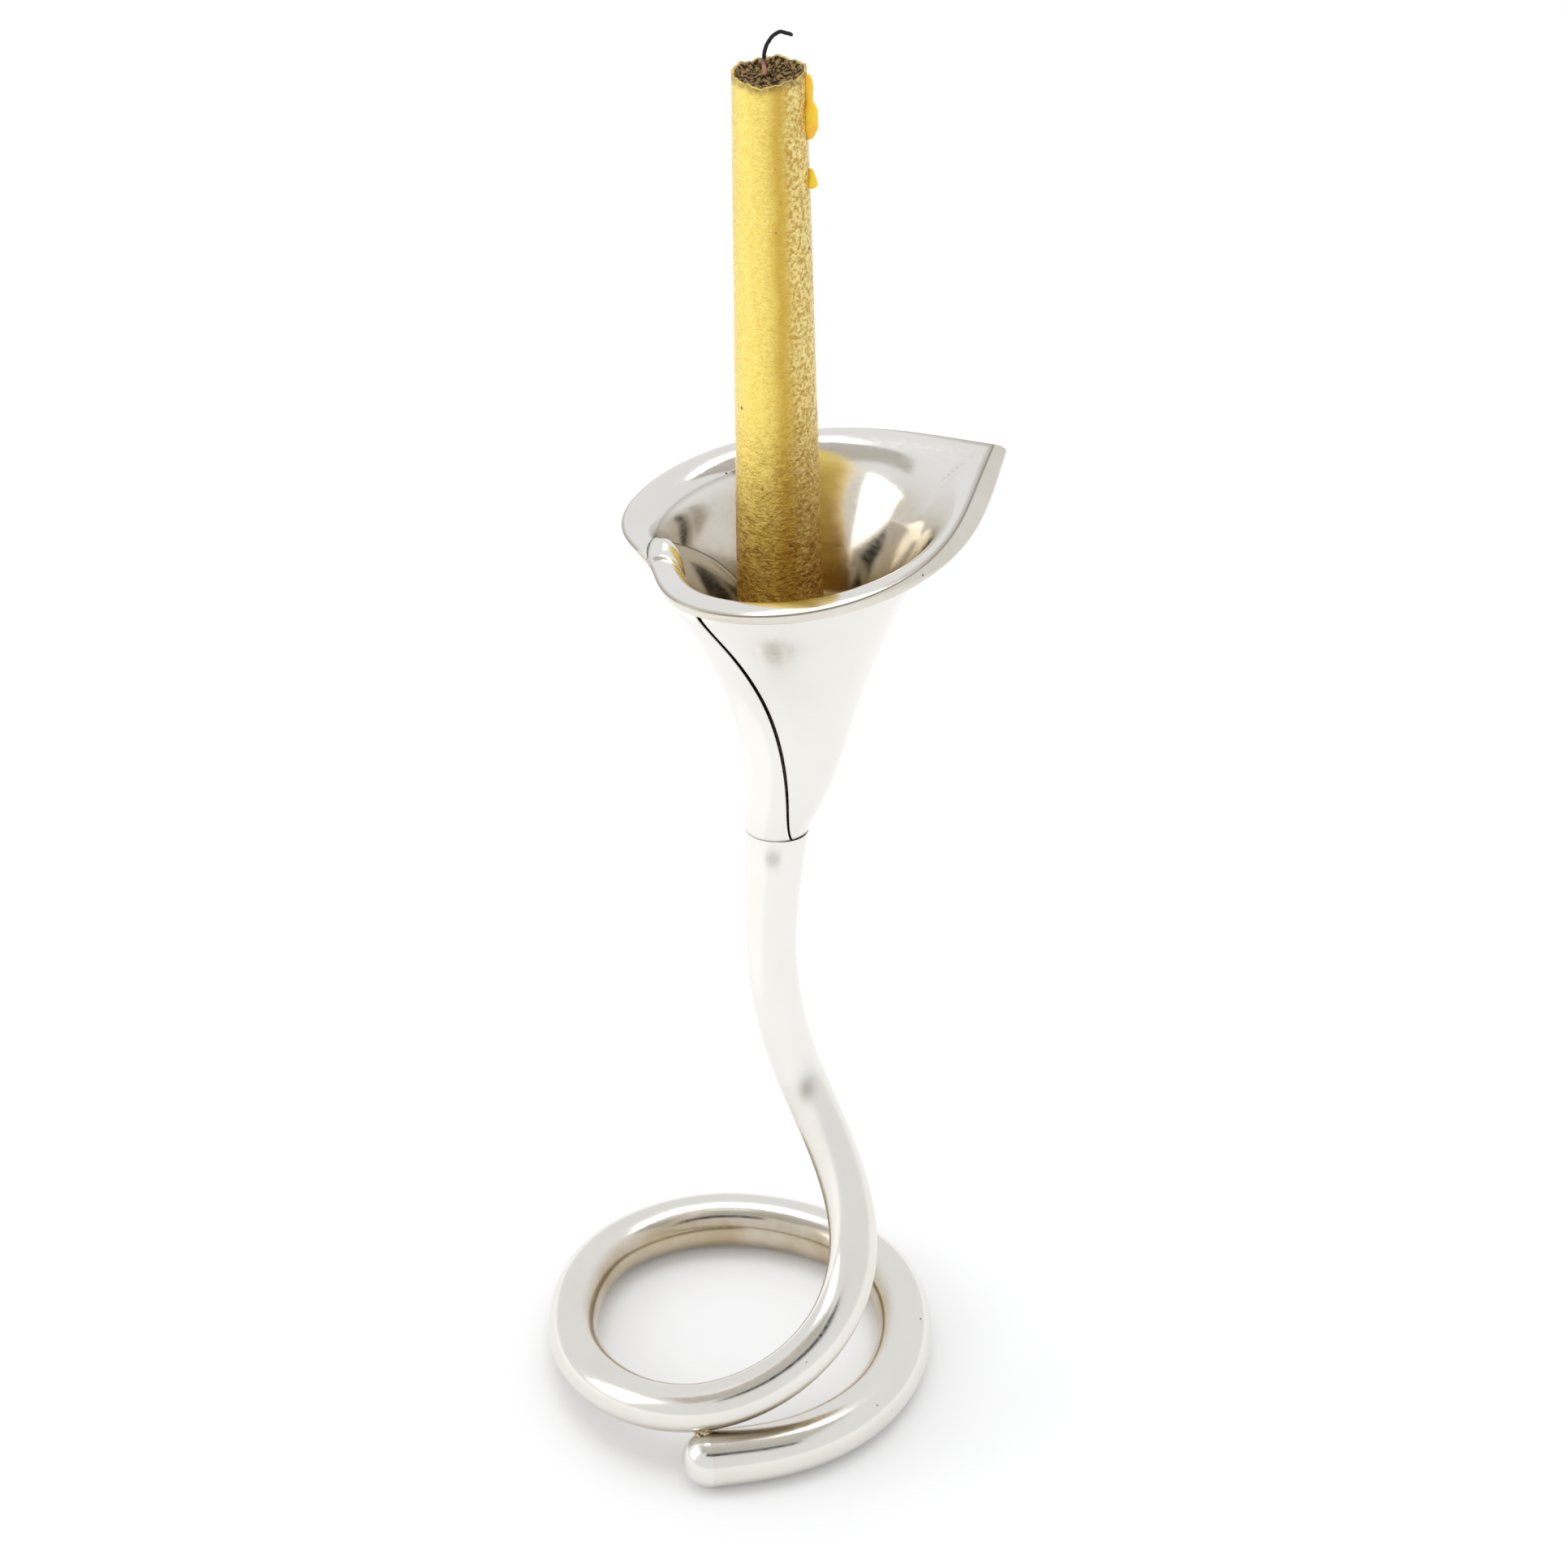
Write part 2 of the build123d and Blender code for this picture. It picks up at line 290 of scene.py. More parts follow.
def rings(start, end, count):
    """Centres, side and up vectors and radii of the tube between two shares of its length."""
    share = spread(start, end, count)
    t = np.interp(share * LINE_LENGTHS[-1], LINE_LENGTHS, LINE_AT)
    along = along_curve(LINE, t)
    # The coil starts from a vector that points up and the stem from one that points right. Each
    # ring's side vector is the last one, turned no more than the line turns.
    side = np.array([0.0, 0, 1]) if start < 0.5 else np.array([1.0, 0, 0])
    sides = []
    for tangent in along:
        side = unit(side - tangent * (side @ tangent))
        sides.append(side)
    sides = np.array(sides)
    return LINE(t), sides, np.cross(along, sides), np.interp(share, RADII_AT, RADII)


def add_swept(name, places, sides, body, node, material, marks=None, masks=None):
    """A closed swept piece, flattened where it meets the ground. Places are (centres, side vectors,
    up vectors, radii) of its rings. marks(turn, row) changes the radius, and masks hold a function
    like it for each name that the material reads."""
    centres, side, up, radii = places
    turn = around(sides)
    row = spread(0, 1, len(radii))[:, None]
    r = radii[:, None] + 0 * turn
    if marks:
        r = r + marks(turn, row)
    out_of = np.cos(turn)[:, None] * side[:, None] + np.sin(turn)[:, None] * up[:, None]
    verts = centres[:, None] + r[..., None] * out_of
    verts[..., 2] = np.maximum(verts[..., 2], 0)
    verts, faces = closed(verts)
    made = add_mesh(name, verts, faces, body, node, material)
    for key, mask in (masks or {}).items():
        value = mask(turn, row) + 0 * r
        set_mask(made, key, np.vstack([value, value[:1], value[-1:]]))


# ---------------------------------------------------------------- materials


class Shader:
    """A principled material, with short ways to add nodes to it. Noise scales are per metre."""

    def __init__(self, name, **values):
        self.material = bpy.data.materials.new(name)
        self.material.use_nodes = True
        self.tree = self.material.node_tree
        self.main = self.tree.nodes["Principled BSDF"]
        for key, value in values.items():
            self.main.inputs[key.replace("_", " ")].default_value = value
        self.place = self.tree.nodes.new("ShaderNodeTexCoord").outputs["Object"]

    def node(self, kind, links=None, **settings):
        made = self.tree.nodes.new("ShaderNode" + kind)
        for key, value in settings.items():
            setattr(made, key, value)
        for key, value in (links or {}).items():
            if isinstance(value, bpy.types.NodeSocket):
                self.tree.links.new(value, made.inputs[key])
            else:
                made.inputs[key].default_value = value
        return made

    def stretched(self, x, y, z):
        """Coordinates in which a texture's marks are that much shorter each way."""
        return self.node("Mapping", {"Vector": self.place, "Scale": (x, y, z)}).outputs[0]

    def noise(self, scale, detail=3.0, at=None, roughness=0.5, distortion=0.0):
        links = {
            "Vector": at or self.place,
            "Scale": scale,
            "Detail": detail,
            "Roughness": roughness,
            "Distortion": distortion,
        }
        return self.node("TexNoise", links).outputs[0]

    def cells(self, scale):
        return self.node("TexVoronoi", {"Vector": self.place, "Scale": scale}).outputs["Distance"]

    def remap(self, value, low, high, to_low=0.0, to_high=1.0):
        links = {0: value, 1: low, 2: high, 3: to_low, 4: to_high}
        return self.node("MapRange", links, clamp=True).outputs[0]

    def math(self, operation, a, b):
        return self.node("Math", {0: a, 1: b}, operation=operation).outputs[0]

    def mix(self, share, a, b):
        return self.node("Mix", {0: share, 6: a, 7: b}, data_type="RGBA").outputs[2]

    def mask(self, name):
        """The number that set_mask stored on each vertex."""
        return self.node("Attribute", attribute_name=name).outputs["Fac"]

    def set(self, socket, value):
        self.tree.links.new(value, self.main.inputs[socket])

    def bump(self, height, distance, strength=1.0, below=None):
        links = {"Height": height, "Distance": distance, "Strength": strength}
        if below:
            links["Normal"] = below
        return self.node("Bump", links).outputs[0]


def colour(r, g, b):
    return (r, g, b, 1.0)


def silver():
    """Hand-polished silver: soft waviness, hairline rub marks and scattered pits. It is brown where the
    mask "tarnish" says, which is slight tarnishing plus painted shade; dark where "soil" says, which is
    painted shade in creases and gaps plus a torch burn and a small mark; and a little rougher where
    "satin" says."""
    s = Shader("silver", Metallic=1.0)
    wave = s.noise(30, 2)
    fine = s.noise(900, 4)
    hair = s.noise(260, 5, s.stretched(1, 1, 14), 0.7)
    pits = s.remap(s.cells(170), 0.035, 0.07, 1, 0)
    few = s.remap(s.noise(45, 1), 0.6, 0.66)
    pits = s.math("MULTIPLY", pits, few)
    tint = s.mix(s.remap(wave, 0.35, 0.65), colour(0.825, 0.803, 0.755), colour(0.855, 0.838, 0.795))
    patchy = s.remap(s.noise(70, 4, roughness=0.6), 0.32, 0.62, 0.6, 1.0)
    # The brown mixed in here is slight tarnishing all over and, where the mask is high, painted shade on the
    # ring's inner side, under its overlap and inside the bowl.
    tint = s.mix(s.math("MULTIPLY", s.mask("tarnish_and_painted_shade"), patchy), tint, colour(0.40, 0.29, 0.12))
    # The dark colour is partly real pits, a torch burn and a small mark, and partly painted shade along the
    # flower's creases and in the ring's overlap.
    dirt_and_painted_shade = s.math("MAXIMUM", pits, s.mask("soil_and_painted_shade"))
    s.set("Base Color", s.mix(dirt_and_painted_shade, tint, colour(0.13, 0.105, 0.075)))
    rough = s.math("ADD", s.remap(fine, 0.3, 0.7, 0.07, 0.13), s.remap(hair, 0.45, 0.75, 0.0, 0.1))
    rough = s.math("ADD", rough, s.math("MULTIPLY", s.mask("satin"), 0.06))
    s.set("Roughness", s.math("ADD", rough, s.math("MULTIPLY", dirt_and_painted_shade, 0.3)))
    soft = s.bump(wave, 0.0006, 0.5)
    lines = s.bump(hair, 0.00001, 0.6, soft)
    s.set("Normal", s.bump(s.math("SUBTRACT", 1.0, pits), 0.0002, 0.6, lines))
    return s.material


def braze():
    """Filler metal that ran into the joint: yellower, pocked and oxidised in patches."""
    s = Shader("braze", Metallic=1.0)
    lumps = s.noise(700, 4)
    burnt = s.remap(s.noise(520, 3), 0.48, 0.62)
    s.set("Base Color", s.mix(burnt, colour(0.78, 0.66, 0.42), colour(0.10, 0.08, 0.06)))
    s.set("Roughness", s.remap(lumps, 0.3, 0.7, 0.12, 0.4))
    s.set("Normal", s.bump(lumps, 0.0005, 0.8))
    return s.material


def machined(name, base):
    """Turned metal of the hidden fixings, with fine tool marks."""
    s = Shader(name, Metallic=1.0)
    marks = s.noise(300, 3, s.stretched(1, 1, 25))
    s.set("Base Color", s.mix(s.noise(120, 3), base, colour(*[c * 0.75 for c in base[:3]])))
    s.set("Roughness", s.remap(marks, 0.3, 0.7, 0.2, 0.38))
    s.set("Normal", s.bump(marks, 0.00005))
    return s.material


def gold_wax():
    """A gold skin on the candle, wrinkled, and darker and browner lower down. It is coarser where the mask
    "crinkled" says, a darker gold where "seam" says, which is a painted shade band, and charred where
    "burnt" says."""
    s = Shader("gold_wax", Metallic=0.9, Coat_Weight=0.1, Coat_Roughness=0.3)
    height = s.node("SeparateXYZ", {0: s.place}).outputs[2]
    # Darker and browner towards the bottom of the candle, most of all in its folds.
    low = s.remap(height, 0.285, 0.232)
    grain = s.noise(1500, 4, roughness=0.7)
    coarse = s.noise(1000, 4, roughness=0.7)
    wrinkle = s.noise(430, 4, s.stretched(1, 1, 2.6), 0.6, 1.6)
    crinkled = s.mask("crinkled")
    specks = s.remap(s.cells(330), 0.12, 0.2, 1, 0)
    few = s.remap(s.noise(160, 2), 0.56, 0.66)
    specks = s.math("MULTIPLY", specks, few)
    gold = s.mix(s.remap(grain, 0.36, 0.60), colour(0.88, 0.62, 0.11), colour(1.0, 0.82, 0.24))
    rough_gold = s.mix(s.remap(coarse, 0.42, 0.56), colour(0.46, 0.25, 0.035), colour(1.0, 0.84, 0.36))
    gold = s.mix(s.math("MULTIPLY", crinkled, 0.75), gold, rough_gold)
    # Painted shade: a darker gold band up the front of the candle, a little right of the middle.
    gold = s.mix(s.math("MULTIPLY", s.mask("painted_shade_band"), 0.75), gold, colour(0.60, 0.36, 0.04))
    brown_low_folds = s.math("MULTIPLY", s.remap(wrinkle, 0.44, 0.6), s.remap(low, 0, 0.8, 0.12, 0.9))
    gold = s.mix(brown_low_folds, gold, colour(0.20, 0.08, 0.01))
    gold = s.mix(s.math("MULTIPLY", low, 0.5), gold, colour(0.46, 0.21, 0.015))
    gold = s.mix(specks, gold, colour(0.12, 0.06, 0.015))
    char = s.mix(s.remap(s.noise(1100, 4), 0.44, 0.6), colour(0.035, 0.02, 0.01), colour(0.42, 0.29, 0.11))
    s.set("Base Color", s.mix(s.mask("burnt"), gold, char))
    rough = s.remap(grain, 0.35, 0.65, 0.16, 0.38)
    s.set("Roughness", s.mix(s.mask("burnt"), rough, colour(0.7, 0.7, 0.7)))
    folds = s.math("MULTIPLY", wrinkle, s.remap(low, 0, 1, 0.3, 1.2))
    crumple = s.math("MULTIPLY", coarse, s.remap(crinkled, 0, 1, 0.2, 1.0))
    relief = s.math("ADD", s.math("MULTIPLY", grain, 0.4), s.math("ADD", folds, crumple))
    s.set("Normal", s.bump(relief, 0.0008, 0.55))
    return s.material


def yellow_wax():
    """Set wax, in patches of yellow and orange."""
    s = Shader("yellow_wax", Roughness=0.28, Subsurface_Weight=0.45, Subsurface_Scale=0.002)
    tone = s.remap(s.noise(220, 3), 0.35, 0.65)
    s.set("Base Color", s.mix(tone, colour(1.0, 0.52, 0.02), colour(1.0, 0.70, 0.02)))
    s.set("Normal", s.bump(s.noise(400, 3), 0.0003, 0.5))
    return s.material


def burnt_wick():
    """Charred cotton, bare and pinkish for its last few millimetres."""
    s = Shader("wick", Roughness=0.85)
    height = s.node("SeparateXYZ", {0: s.place}).outputs[2]
    char = s.remap(s.math("ADD", height, s.math("MULTIPLY", s.noise(600, 2), 0.002)), 0.3672, 0.3692)
    fibre = s.noise(2600, 4)
    bare = s.mix(fibre, colour(0.82, 0.50, 0.38), colour(0.55, 0.12, 0.07))
    black = s.mix(s.remap(fibre, 0.5, 0.7), colour(0.006, 0.006, 0.007), colour(0.03, 0.028, 0.03))
    s.set("Base Color", s.mix(char, bare, black))
    s.set("Normal", s.bump(fibre, 0.0002))
    return s.material


SILVER = silver()
BRAZE = braze()
BRASS = machined("brass", colour(0.80, 0.60, 0.28))
STEEL = machined("steel", colour(0.62, 0.61, 0.60))
GOLD_WAX = gold_wax()
YELLOW_WAX = yellow_wax()
WICK = burnt_wick()

# ---------------------------------------------------------------- foot and stem


def coil_marks(turn, row):
    """The tube was bent by hand, so it is a few hundredths out of round."""
    waves = 0.05 * np.sin(2 * turn + 9 * row) + 0.04 * np.sin(turn + 31 * row)
    waves = waves + 0.03 * np.sin(67 * row - 2 * turn)
    return waves * smooth(row * 12) * smooth((1 - row) * 6)


coil_places = rings(0, JOINT_AT - TUBE_STOPS, 620)
stem_places = rings(JOINT_AT + TUBE_STOPS, 1, 140)
joint_places = rings(JOINT_AT - SOLDER_REACH, JOINT_AT + SOLDER_REACH, 6)


def facing(places, turn, way):
    """How far each point of a tube faces a way: 1 straight at it, -1 straight away."""
    side, up = places[1], places[2]
    return np.cos(turn) * (side * way).sum(-1)[:, None] + np.sin(turn) * (up * way).sum(-1)[:, None]


def coil_tarnish_and_shade(turn, row):
    """A trace of tarnishing all over, and painted shade on the ring's inner side and under its
    overlap."""
    # Painted shade: the inner side of the ring and the underside of the upper turn are browner.
    inward = unit((RING_MIDDLE - coil_places[0]) * (1, 1, 0))
    in_ring = smooth((facing(coil_places, turn, inward) - 0.3) / 0.6) * (1 - smooth((row - 0.7) / 0.1))
    under = bump(row, 0.77, 0.09) * smooth(-1.6 * facing(coil_places, turn, (0, 0, 1)))
    return 0.08 + 0.85 * np.maximum(0.8 * in_ring, under)


def burn(places, turn):
    """A smudge left by the torch, a little right of the front of the stem's joint."""
    centres, side, up, radii = places
    out_of = np.cos(turn)[:, None] * side[:, None] + np.sin(turn)[:, None] * up[:, None]
    from_spot = centres[:, None] + radii[:, None, None] * out_of - BURN_AT
    return 0.5 * bump(np.linalg.norm(from_spot / BURN_SIZE, axis=-1), 0, 1)


def coil_burn_and_shade(turn, row):
    """The burn, and painted shade in the narrow gap where the ring passes over its own end."""
    # Painted shade under the upper turn, where it passes over the end.
    overlap = 0.85 * bump(row, 0.78, 0.05) * smooth(3 * facing(coil_places, turn, (0, -0.5, -0.86)) - 1.9)
    return np.maximum(burn(coil_places, turn), overlap)


def stem_soil(turn, row):
    """The rest of the burn, and a small dark mark just under the flower."""
    spot = 0.35 * bump(row, 0.93, 0.035) * smooth(14 * facing(stem_places, turn, (-0.1, -0.99, 0)) - 13)
    return np.maximum(burn(stem_places, turn), spot)


def joint_soil(turn, row):
    return burn(joint_places, turn)


def satin(turn, row):
    """All of the tube is a little less polished than the flower."""
    return 1.0


def make_tubes():
    """The coiled tube, the stem above its joint, the solder line between them, and the domed end."""
    marks = {"tarnish_and_painted_shade": coil_tarnish_and_shade, "soil_and_painted_shade": coil_burn_and_shade, "satin": satin}
    add_swept("coil_silver_tube", coil_places, 96, "holder", "coil_tube", SILVER, coil_marks, marks)
    marks = {"soil_and_painted_shade": stem_soil, "satin": satin}
    add_swept("stem_silver_tube", stem_places, 96, "holder", "stem_tube", SILVER, masks=marks)
    marks = {"soil_and_painted_shade": joint_soil, "satin": satin}
    add_swept("stem_braze_line", joint_places, 96, "holder", "stem_braze", SILVER, masks=marks)

    curl = spread(0, math.pi / 2 - 0.01, 40)
    start, side, up = (values[0] for values in coil_places[:3])
    along = np.cross(side, up)
    dome = (
        start - along * (RADII[0] * np.sin(curl) + 0.02)[:, None],
        np.tile(side, (len(curl), 1)),
        np.tile(up, (len(curl), 1)),
        RADII[0] * np.cos(curl) ** 0.92,
    )
    marks = {"satin": satin}
    add_swept("coil_end_dome", dome, 96, "holder", "coil_end_cap", SILVER, masks=marks)


def make_bead():
    """The lump of solder between the tube's end and the ring's second turn."""
    polar = spread(0.02, math.pi - 0.02, 64)[:, None]
    turn = around(64) + 0 * polar
    way = np.stack([np.sin(polar) * np.cos(turn), np.sin(polar) * np.sin(turn), np.cos(polar) + 0 * turn], -1)
    lumps = np.sin(5 * turn + 3 * polar) + np.sin(9 * polar - 4 * turn) + np.sin(13 * turn)
    verts, faces = closed(BEAD_AT + way * (1 + 0.04 * lumps)[..., None] * BEAD_SIZE)
    add_mesh("coil_braze_bead", verts, faces, "holder", "coil_braze", BRAZE)


make_tubes()
make_bead()

# ---------------------------------------------------------------- the flower

# The profile as a smooth line: its points, the way it runs and its length up to each point.
profile_knots = np.array(PROFILE, float)
profile_curve = curve_through(lengths_along(profile_knots), profile_knots)
dense_points = profile_curve(spread(0, lengths_along(profile_knots)[-1], 4000))
dense_along = unit(np.gradient(dense_points, axis=0))
dense_length = lengths_along(dense_points)

# Turns round the sheet are measured from its groove. Below 0 it lies inside its own other end, and it
# stops at its outer free edge, just short of a full turn.
SHEET_ENDS = 359.4


def groove(s):
    """The angle of the rolled sheet's outer free edge, at each share s of the profile."""
    low = 226 + 46 * np.maximum(0, 1 - s / 0.85) + 24 * np.exp(-s / 0.07)
    return low - 26 * smooth((s - 0.85) / 0.15)


def ridge(s):
    """The angle of its inner free edge, inside the bowl."""
    return 109 + 90 * np.maximum(0, (s - 0.4) / 0.6) ** 2


def sheet_depths(turn, s):
    """Depths of the sheet's outside and inside below the profile, at a turn and a share of the profile."""
    full = SHEET + (LIP - SHEET) * smooth((s - 0.8) / 0.17)
    lap = turn + groove(s) - ridge(s)
    over = MARGIN + (full - MARGIN) * smooth(-turn / 12)
    under = MARGIN + (full - MARGIN) * smooth(lap / 12)
    thick = MARGIN + (full - MARGIN) * smooth((360 - turn) / 12)
    step = (MARGIN + GAP) * (1 - smooth(turn / 4))
    outside = np.where(turn < 0, over + GAP, step)
    inside = np.where(turn < 0, over + GAP + under, step + np.where(turn < 180, full, thick))
    return outside, inside


def flower_points(azimuth, s, inset, beyond):
    """Points of the flower at a share s of its profile, set inside it and run on past its end."""
    at = s * dense_length[-1]
    columns = (*dense_points.T, *dense_along.T)
    r, z, along_r, along_z = (np.interp(at, dense_length, values) for values in columns)
    r, z = r - inset * along_z + beyond * along_r, z + inset * along_r + beyond * along_z
    tip = np.abs((azimuth - TIP_AT + 180) % 360 - 180)
    notch = (azimuth - NOTCH_AT + 180) % 360 - 180
    out = TIP_OUT * np.exp(-tip / TIP_SPREAD) - NOTCH_IN * np.exp(-((notch / NOTCH_SPREAD) ** 2)) - 0.6
    r = r + out * smooth((s - 0.8) / 0.2) ** 1.3
    x, y = r * np.cos(np.radians(azimuth)), r * np.sin(np.radians(azimuth))
    off = 1 - np.exp(-((np.maximum(z, 0) / 14) ** 1.3))
    z = z + (RISE_X * x + RISE_Y * y) * smooth((s - 0.35) / 0.5)
    return by_neck(x + BELLY_X * off, y + BELLY_Y * off, z)


def bevel(azimuth):
    """How far in from the edge the rim's crease runs: widest round the pointed tip."""
    from_tip = (azimuth - TIP_AT + 25 + 180) % 360 - 180
    return 0.3 + 3.0 * bump(from_tip, 0, 55)


def make_flower():
    """The rolled sheet. Its columns run from the hidden inner edge round to the other edge, closest
    together at both, and its rows go up the outside, over the rim and down the inside."""
    hidden = -(1 - spread(0, 0.995, 60))
    seen = np.concatenate([spread(0.2, 6, 24), spread(6.6, 350, 500), spread(350.5, SHEET_ENDS, 30)])
    rise = spread(0, 0.99, 170)[:, None]
    over = spread(0.08, math.pi - 0.08, 24)[:, None]
    flat = 0 * rise
    level = np.concatenate([rise, 0 * over + 1, rise[::-1]])
    beyond = np.concatenate([flat, 0.7 * (np.abs(np.sin(over)) ** 0.5 - 1), flat])
    corner = np.sign(np.cos(over)) * np.abs(np.cos(over)) ** 0.5
    share = np.concatenate([flat, (1 - corner) / 2, flat + 1])

    lap = groove(level) - ridge(level)
    turn = np.concatenate([hidden[None, :] * lap, seen[None, :] + 0 * level], axis=1)
    azimuth = groove(level) + turn
    s = level * (1 - share * bevel(azimuth) / dense_length[-1])
    outside, inside = sheet_depths(turn, s)
    middle, half = (outside + inside) / 2, (inside - outside) / 2
    from_ridge = turn + lap
    # Both free edges are rounded over the last part of a degree.
    for distance in ((SHEET_ENDS - turn) / 0.7, from_ridge / 0.8):
        half = half * np.sqrt(np.clip(1 - np.clip(1 - distance, 0, 1) ** 2, 0.01, 1))
    verts = flower_points(azimuth, s, middle + (2 * share - 1) * half, beyond + 0 * turn)

    # The sheet's two ends are closed by quads from its outside to its inside.
    rows, cols = turn.shape
    faces = grid_faces(rows, cols, wrap_rows=True, wrap_cols=False)
    for j in (0, cols - 1):
        for i in range(rows // 2 - 1):
            k = rows - 1 - i
            quad = (i * cols + j, (i + 1) * cols + j, (k - 1) * cols + j, k * cols + j)
            faces.append(quad[::-1] if j else quad)
    verts = verts.reshape(-1, 3)
    made = add_mesh("flower_sheet", verts, faces, "holder", "flower_spathe", SILVER)

    # Painted shade: dark lines along the groove, the ridge, the rim's inner edge and the neck, and a crease
    # in the lip.
    outer, on_rim = share < 0.5, level >= 1
    soil_and_painted_shade = 0.95 * np.exp(-np.abs(turn - 0.6) / 1.1) * outer
    soil_and_painted_shade = np.maximum(soil_and_painted_shade, 0.8 * np.exp(-np.abs(from_ridge) / 0.8))
    soil_and_painted_shade = np.maximum(soil_and_painted_shade, 0.75 * bump(share, 0.97, 0.03) * on_rim)
    soil_and_painted_shade = np.maximum(soil_and_painted_shade, 0.5 * np.exp(-s / 0.004) * outer)
    from_tip = (azimuth - TIP_AT + 180) % 360 - 180
    crease = 0.35 * bump(s, 0.915, 0.004) * ~outer * smooth((np.abs(from_tip) - 50) / 50)
    set_mask(made, "soil_and_painted_shade", np.maximum(soil_and_painted_shade, crease))
    # Painted shade: the bowl is browner the deeper it goes, and the rim has a little of the same brown.
    deep = 0.42 * smooth((0.92 - s) / 0.08) + 0.58 * smooth((0.80 - s) / 0.2)
    set_mask(made, "tarnish_and_painted_shade", deep * ~outer + 0.3 * on_rim + 0 * turn)


make_flower()

# ---------------------------------------------------------------- seat, cup and hidden fixings


def finish_fixing(node, finish):
    """A CAD node as it is, with its own metal and its edges rounded."""
    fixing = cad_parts[node]
    fixing.data.materials.clear()
    fixing.data.materials.append(finish)
    edges = fixing.modifiers.new("edges", "BEVEL")
    edges.width, edges.segments, edges.limit_method = 0.00015, 2, "ANGLE"


add_turned("cup_seat_disc", SEAT, "holder", "cup_seat", SILVER, centre=(BELLY_X, BELLY_Y))
cup_section = CUP_OUTSIDE + CUP_BORE + CUP_RECESS
add_turned("candle_socket", cup_section, "holder", "candle_cup", SILVER)
for brass_node in ("stem_spigot", "neck_plug"):
    finish_fixing(brass_node, BRASS)
for steel_node in ("throat_washer", "throat_screw", "cup_screw"):
    finish_fixing(steel_node, STEEL)

# ---------------------------------------------------------------- candle, wick and wax


def rim_height(turn):
    """The candle's burnt edge: it dips in front and on the left, and is ragged all round."""
    dip = -0.8 * bump((turn - 3.9 + math.pi) % (2 * math.pi) - math.pi, 0.6, 0.9)
    ragged = 0.28 * np.sin(5 * turn + 1) + 0.2 * np.sin(11 * turn) + 0.12 * np.sin(23 * turn + 2)
    return dip + ragged - 0.5 - 0.7 * np.sin(turn - 2.6)


def make_candle():
    """The tapered stick: its butt, its wall and the shallow burnt bowl in its top."""
    turn = around(220)[None, :]
    wall = spread(0, 1, 240)[:, None]
    edge = rim_height(turn)
    wall_z = BUTT_Z + 0.1 + wall * (CANDLE_LENGTH + edge - 0.1)
    wall_r = BUTT_R + (TOP_R - BUTT_R) * wall - 0.05 + 0.03 * np.sin(9 * turn + 21 * wall)
    wall_r = wall_r + 0.04 * np.sin(17 * turn - 40 * wall) * np.sin(70 * wall + 3 * turn)
    bowl = spread(0.02, 1, 46)[:, None]
    crust = 0.22 * np.sin(9 * turn + 17 * bowl) * np.sin(31 * bowl) + 0.15 * np.sin(23 * turn - 19 * bowl)
    bowl_z = TOP_Z + edge * (1 - bowl) ** 2 - 2.1 * smooth(bowl * 2.2) * (1 - 0.3 * bowl)
    bowl_z = bowl_z + crust * smooth(5 * bowl)
    bowl_r = (TOP_R - 0.35) * (1 - bowl) + 0.05
    butt_r = np.array([[0.1], [BUTT_R - 0.6]]) + 0 * turn
    butt_z = 0 * butt_r + BUTT_Z + 0.05
    r = np.vstack([butt_r, wall_r, bowl_r + 0 * turn])
    z = np.vstack([butt_z, wall_z, bowl_z])
    verts, faces = closed(by_neck(CANDLE_X + r * np.cos(turn), r * np.sin(turn), z))
    made = add_mesh("candle_stick", verts, faces, "candle", "candle", GOLD_WAX)

    scorched = 0.5 * smooth((wall - 0.985) / 0.012) + 0 * turn
    set_mask(made, "burnt", np.vstack([0 * butt_r, scorched, smooth(bowl * 14) + 0 * turn]))
    # A painted shade band runs up the front, a little right of the middle, and the right side is crinkled.
    ripple = 0.03 * np.sin(37 * wall) + 0.02 * np.sin(83 * wall + 1)
    painted_shade_band = bump(turn + ripple, 4.93, 0.24)
    right = smooth((turn + ripple - 4.95) / 0.25) * smooth((6.6 - turn) / 0.4)
    set_mask(made, "painted_shade_band", np.vstack([0 * butt_r, painted_shade_band]))
    set_mask(made, "crinkled", np.vstack([0 * butt_r, right]))


def make_wick():
    """A plaited cord that stands up from the wax, then curls over to the right."""
    x, z = np.array(WICK_BEND).T
    points = by_neck(CANDLE_X - 1 + x, 0 * x, TOP_Z + z)
    reach = lengths_along(points)
    path = curve_through(reach, points)
    t = spread(0, reach[-1], 220)
    along = along_curve(path, t)
    side = unit(np.cross(BACK, along))
    radii = np.interp(t, [0, reach[-1] - 0.5, reach[-1]], [WICK_R, WICK_R, 0.3])
    places = (path(t), side, np.cross(along, side), radii)

    def plait(turn, row):
        return 0.045 * np.sin(3 * turn + 70 * row) + 0.03 * np.sin(-3 * turn + 55 * row)

    add_swept("wick_cord", places, 24, "candle", "wick", WICK, plait)


